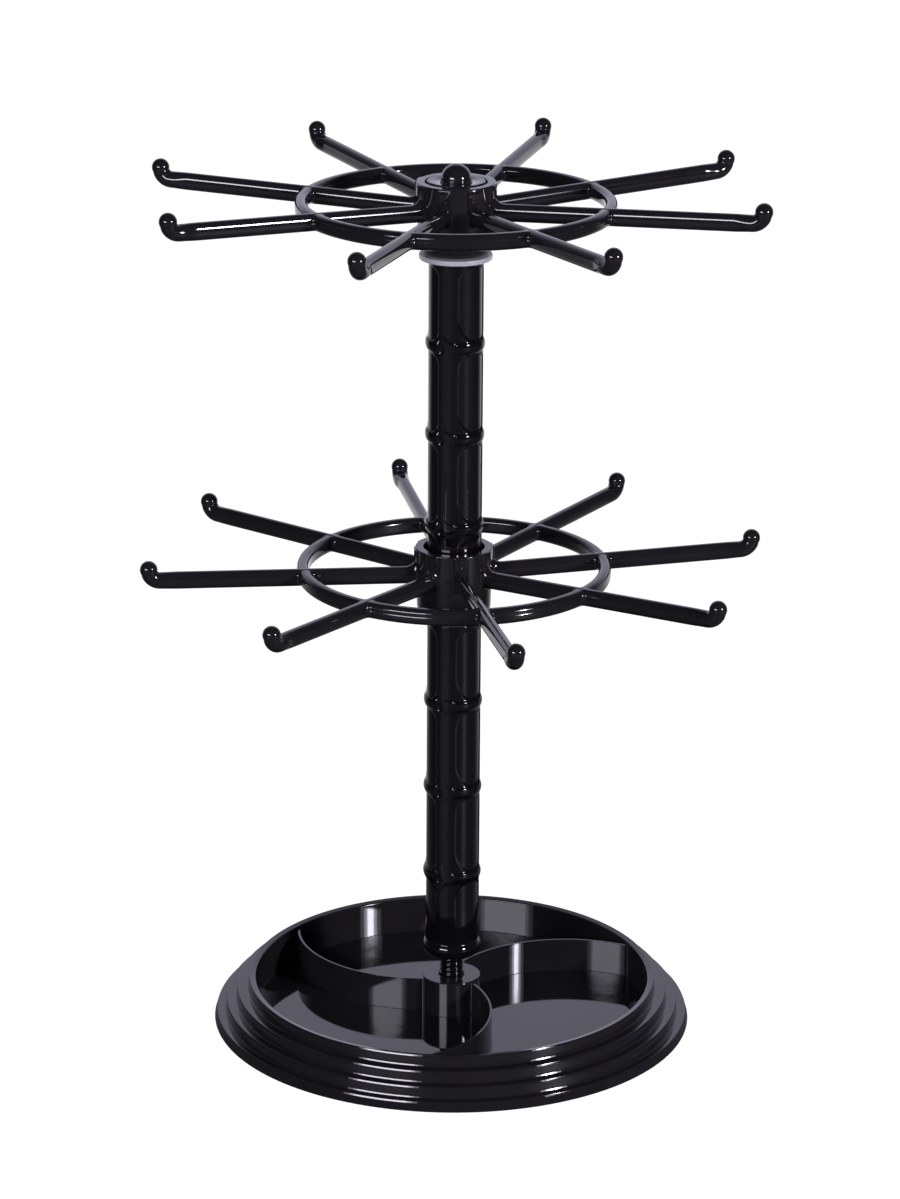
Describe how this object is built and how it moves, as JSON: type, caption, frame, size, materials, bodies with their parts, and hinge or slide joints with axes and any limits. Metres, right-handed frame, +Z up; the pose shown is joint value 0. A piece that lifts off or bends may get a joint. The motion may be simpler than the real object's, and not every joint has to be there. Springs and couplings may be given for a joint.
{
  "type": "mug tree",
  "caption": "Two-tier rotating hook stand: two spinning wheels of upturned hook arms on a segmented pole over a stepped round tray with curved dividers.",
  "frame": {"origin": "centre of the base, on the surface that the stand rests on", "axes": "+Z up along the pole; -Y towards the front view; +X to the right of that view"},
  "size_m": [0.2484, 0.2484, 0.3589],
  "materials": {
    "tray_plastic": "high-gloss black",
    "pole_plastic": "high-gloss black",
    "wheel_plastic": "gloss black",
    "nylon": "satin natural nylon"
  },
  "bodies": {
    "stand": {"base_tray": "tray_plastic", "centre_post": "tray_plastic", "tray_divider_1": "tray_plastic", "tray_divider_2": "tray_plastic", "tray_divider_3": "tray_plastic", "lower_stud": "pole_plastic", "lower_sleeve": "pole_plastic", "lower_washer": "nylon", "upper_stud": "pole_plastic", "upper_sleeve": "pole_plastic", "upper_washer": "nylon", "finial_stud": "pole_plastic", "finial_cap": "tray_plastic", "finial_knob": "tray_plastic"},
    "lower_wheel": {"lower_hub": "wheel_plastic", "lower_ring": "wheel_plastic", "lower_arm_1": "wheel_plastic", "lower_arm_2": "wheel_plastic", "lower_arm_3": "wheel_plastic", "lower_arm_4": "wheel_plastic", "lower_arm_5": "wheel_plastic", "lower_arm_6": "wheel_plastic", "lower_arm_7": "wheel_plastic", "lower_arm_8": "wheel_plastic"},
    "upper_wheel": {"upper_hub": "wheel_plastic", "upper_ring": "wheel_plastic", "upper_arm_1": "wheel_plastic", "upper_arm_2": "wheel_plastic", "upper_arm_3": "wheel_plastic", "upper_arm_4": "wheel_plastic", "upper_arm_5": "wheel_plastic", "upper_arm_6": "wheel_plastic", "upper_arm_7": "wheel_plastic", "upper_arm_8": "wheel_plastic"}
  },
  "joints": [
    {"name": "lower_wheel_spin", "type": "hinge", "parent": "stand", "child": "lower_wheel", "pos_m": [0, 0, 0.1885], "axis": [0, 0, 1], "continuous": true},
    {"name": "upper_wheel_spin", "type": "hinge", "parent": "stand", "child": "upper_wheel", "pos_m": [0, 0, 0.3375], "axis": [0, 0, 1], "continuous": true}
  ]
}
